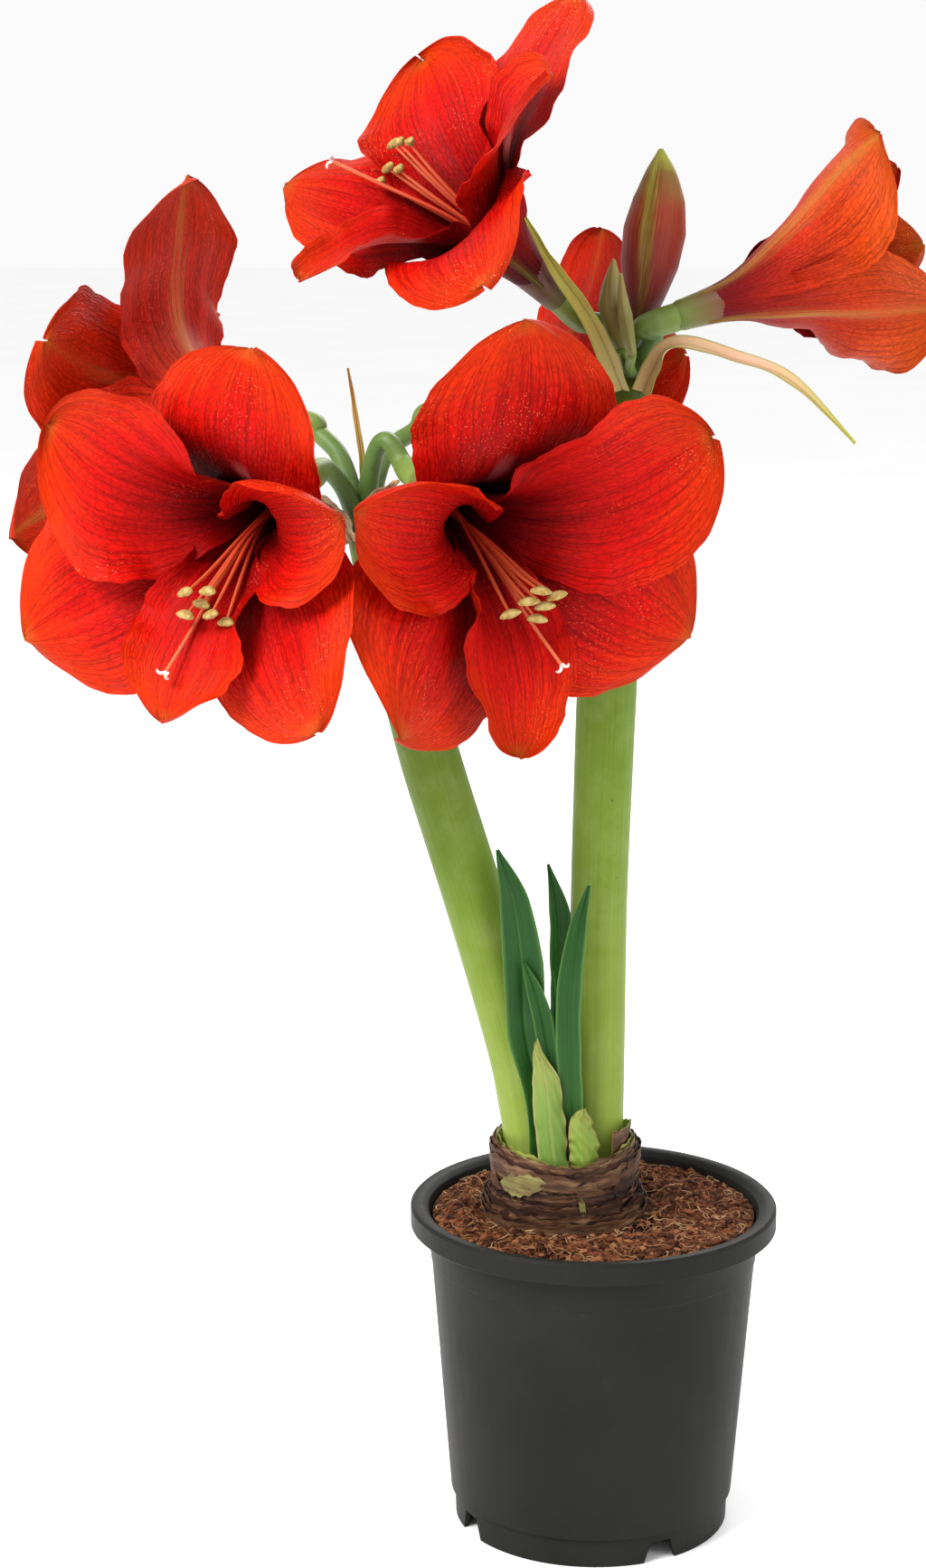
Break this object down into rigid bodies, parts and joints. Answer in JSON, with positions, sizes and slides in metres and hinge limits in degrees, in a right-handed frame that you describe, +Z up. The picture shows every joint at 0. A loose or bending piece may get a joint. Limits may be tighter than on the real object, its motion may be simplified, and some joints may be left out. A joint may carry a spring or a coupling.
{
  "type": "potted amaryllis",
  "caption": "Flowering amaryllis on two leafless stalks from one bulb, with short leaves and a bud, in a tapered black nursery pot with soil.",
  "frame": {"origin": "centre of the round support pad under the pot's base, level with the foot ring, on the pot's axis", "axes": "+Z up along the pot's axis, -Y towards the viewer of the picture, +X to that viewer's right"},
  "size_m": [0.3661, 0.2559, 0.6155],
  "materials": {
    "pot_plastic": "satin",
    "soil_coir": "matte",
    "bulb_tunic": "satin",
    "inner_scale": "satin",
    "cut_sheath": "satin",
    "stalk": "satin",
    "petal": "satin",
    "stamen": "matte",
    "bud": "satin",
    "small_bud": "satin",
    "leaf": "satin",
    "bract": "satin",
    "dry_bract": "matte"
  },
  "bodies": {
    "root": {"bract_cream": "dry_bract", "bract_dry": "dry_bract", "bract_left": "bract", "bract_right": "bract", "bracteole": "bract", "bud_large": "bud", "bud_narrow": "small_bud", "bud_small": "small_bud", "bulb": "bulb_tunic", "curled_scale": "cut_sheath", "cut_sheath": "cut_sheath", "leaf_back": "leaf", "leaf_big": "leaf", "leaf_front": "leaf", "leaf_small": "leaf", "leaf_thin": "leaf", "neck_scale": "inner_scale", "perianth_a": "petal", "perianth_b": "petal", "perianth_c": "petal", "perianth_e": "petal", "perianth_g": "petal", "perianth_h": "petal", "pot": "pot_plastic", "soil": "soil_coir", "stalk_left": "stalk", "stalk_right": "stalk", "stamens_a": "stamen", "stamens_b": "stamen", "stamens_c": "stamen", "stamens_e": "stamen", "stamens_g": "stamen", "stamens_h": "stamen"}
  },
  "joints": []
}
